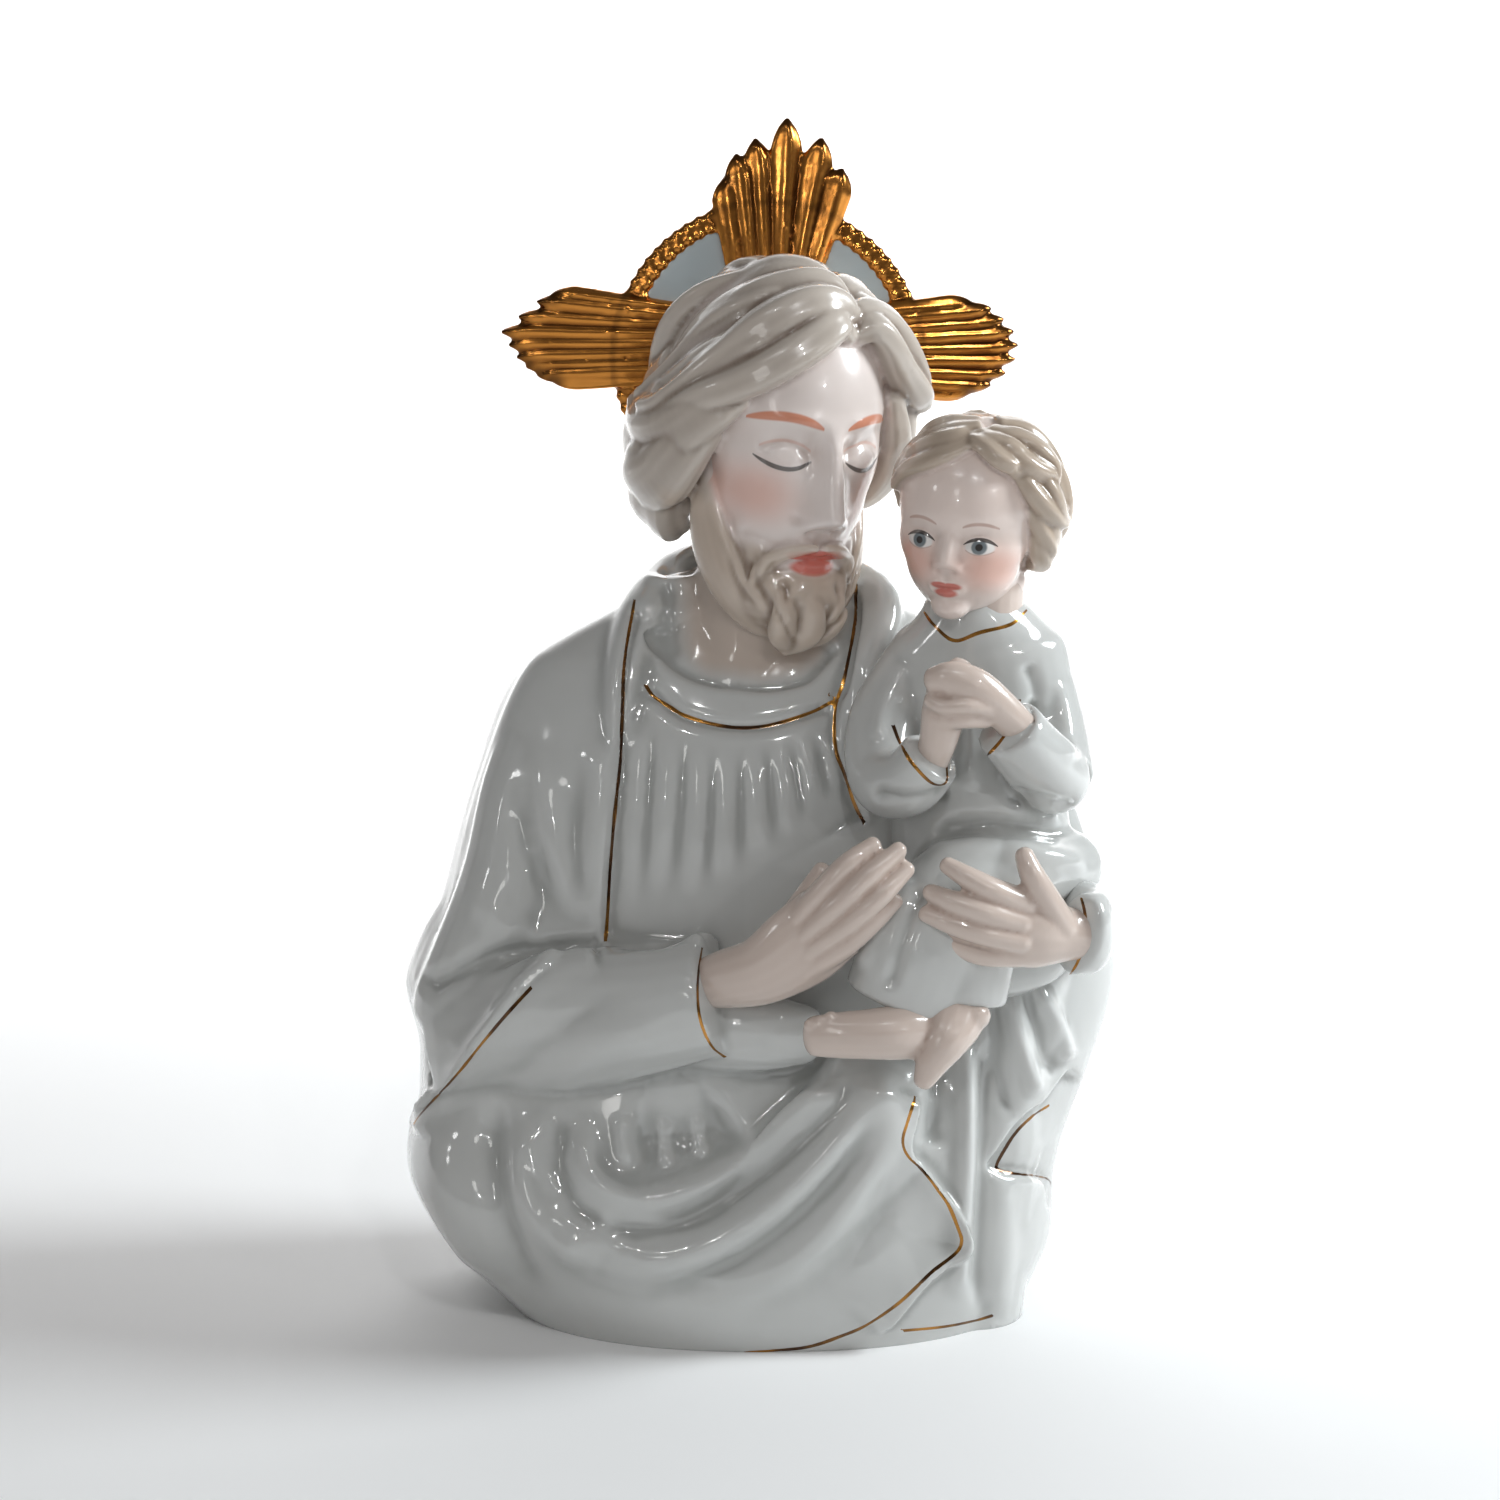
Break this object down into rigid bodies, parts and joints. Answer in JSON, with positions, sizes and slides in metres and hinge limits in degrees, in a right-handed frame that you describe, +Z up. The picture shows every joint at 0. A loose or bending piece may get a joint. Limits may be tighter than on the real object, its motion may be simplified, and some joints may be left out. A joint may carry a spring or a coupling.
{
  "type": "saint joseph statue",
  "caption": "Glazed porcelain half-length figurine of a bearded saint holding a child, with a gilt rayed halo; it stands on its flat underside.",
  "frame": {"origin": "middle of the outline at the level of the flat underside", "axes": "+Z up the figure's height, -Y out of its front, +X to the right of someone facing it"},
  "size_m": [0.1436, 0.0998, 0.2363],
  "materials": {
    "statue": "high-gloss white glaze with painted skin, hair and gilt halo"
  },
  "bodies": {
    "root": {"statue": "statue"}
  },
  "joints": []
}
